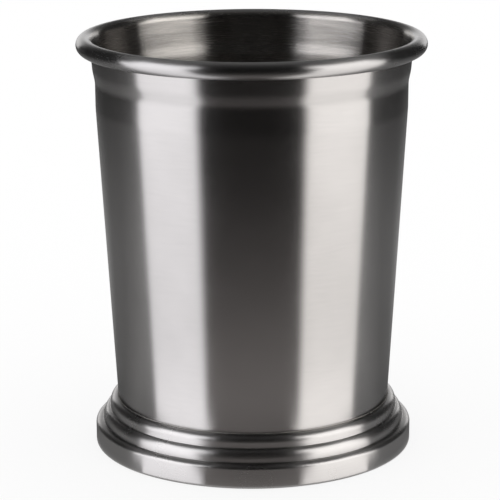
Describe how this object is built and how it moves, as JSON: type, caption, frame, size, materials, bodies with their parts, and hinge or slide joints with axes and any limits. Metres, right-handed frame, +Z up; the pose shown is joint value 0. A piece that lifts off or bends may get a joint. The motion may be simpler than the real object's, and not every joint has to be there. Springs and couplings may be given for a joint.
{
  "type": "julep cup",
  "caption": "Straight-sided tapered steel drinking cup with a rolled bead at the rim, a soft flared ring below it and a stepped hollow foot.",
  "frame": {"origin": "centre of the ring that the cup stands on, in the plane of the table", "axes": "+Z up along the cup's axis of revolution, -Y towards the viewer of the picture, +X to the viewer's right"},
  "size_m": [0.088, 0.088, 0.1058],
  "materials": {
    "satin_steel": "satin, brushed round the cup",
    "plate_steel": "fine turned, satin",
    "braze": "dull satin"
  },
  "bodies": {
    "root": {"cup_body": "satin_steel", "foot_ring": "satin_steel", "base_plate": "plate_steel", "upper_seam": "braze", "lower_seam": "braze"}
  },
  "joints": []
}
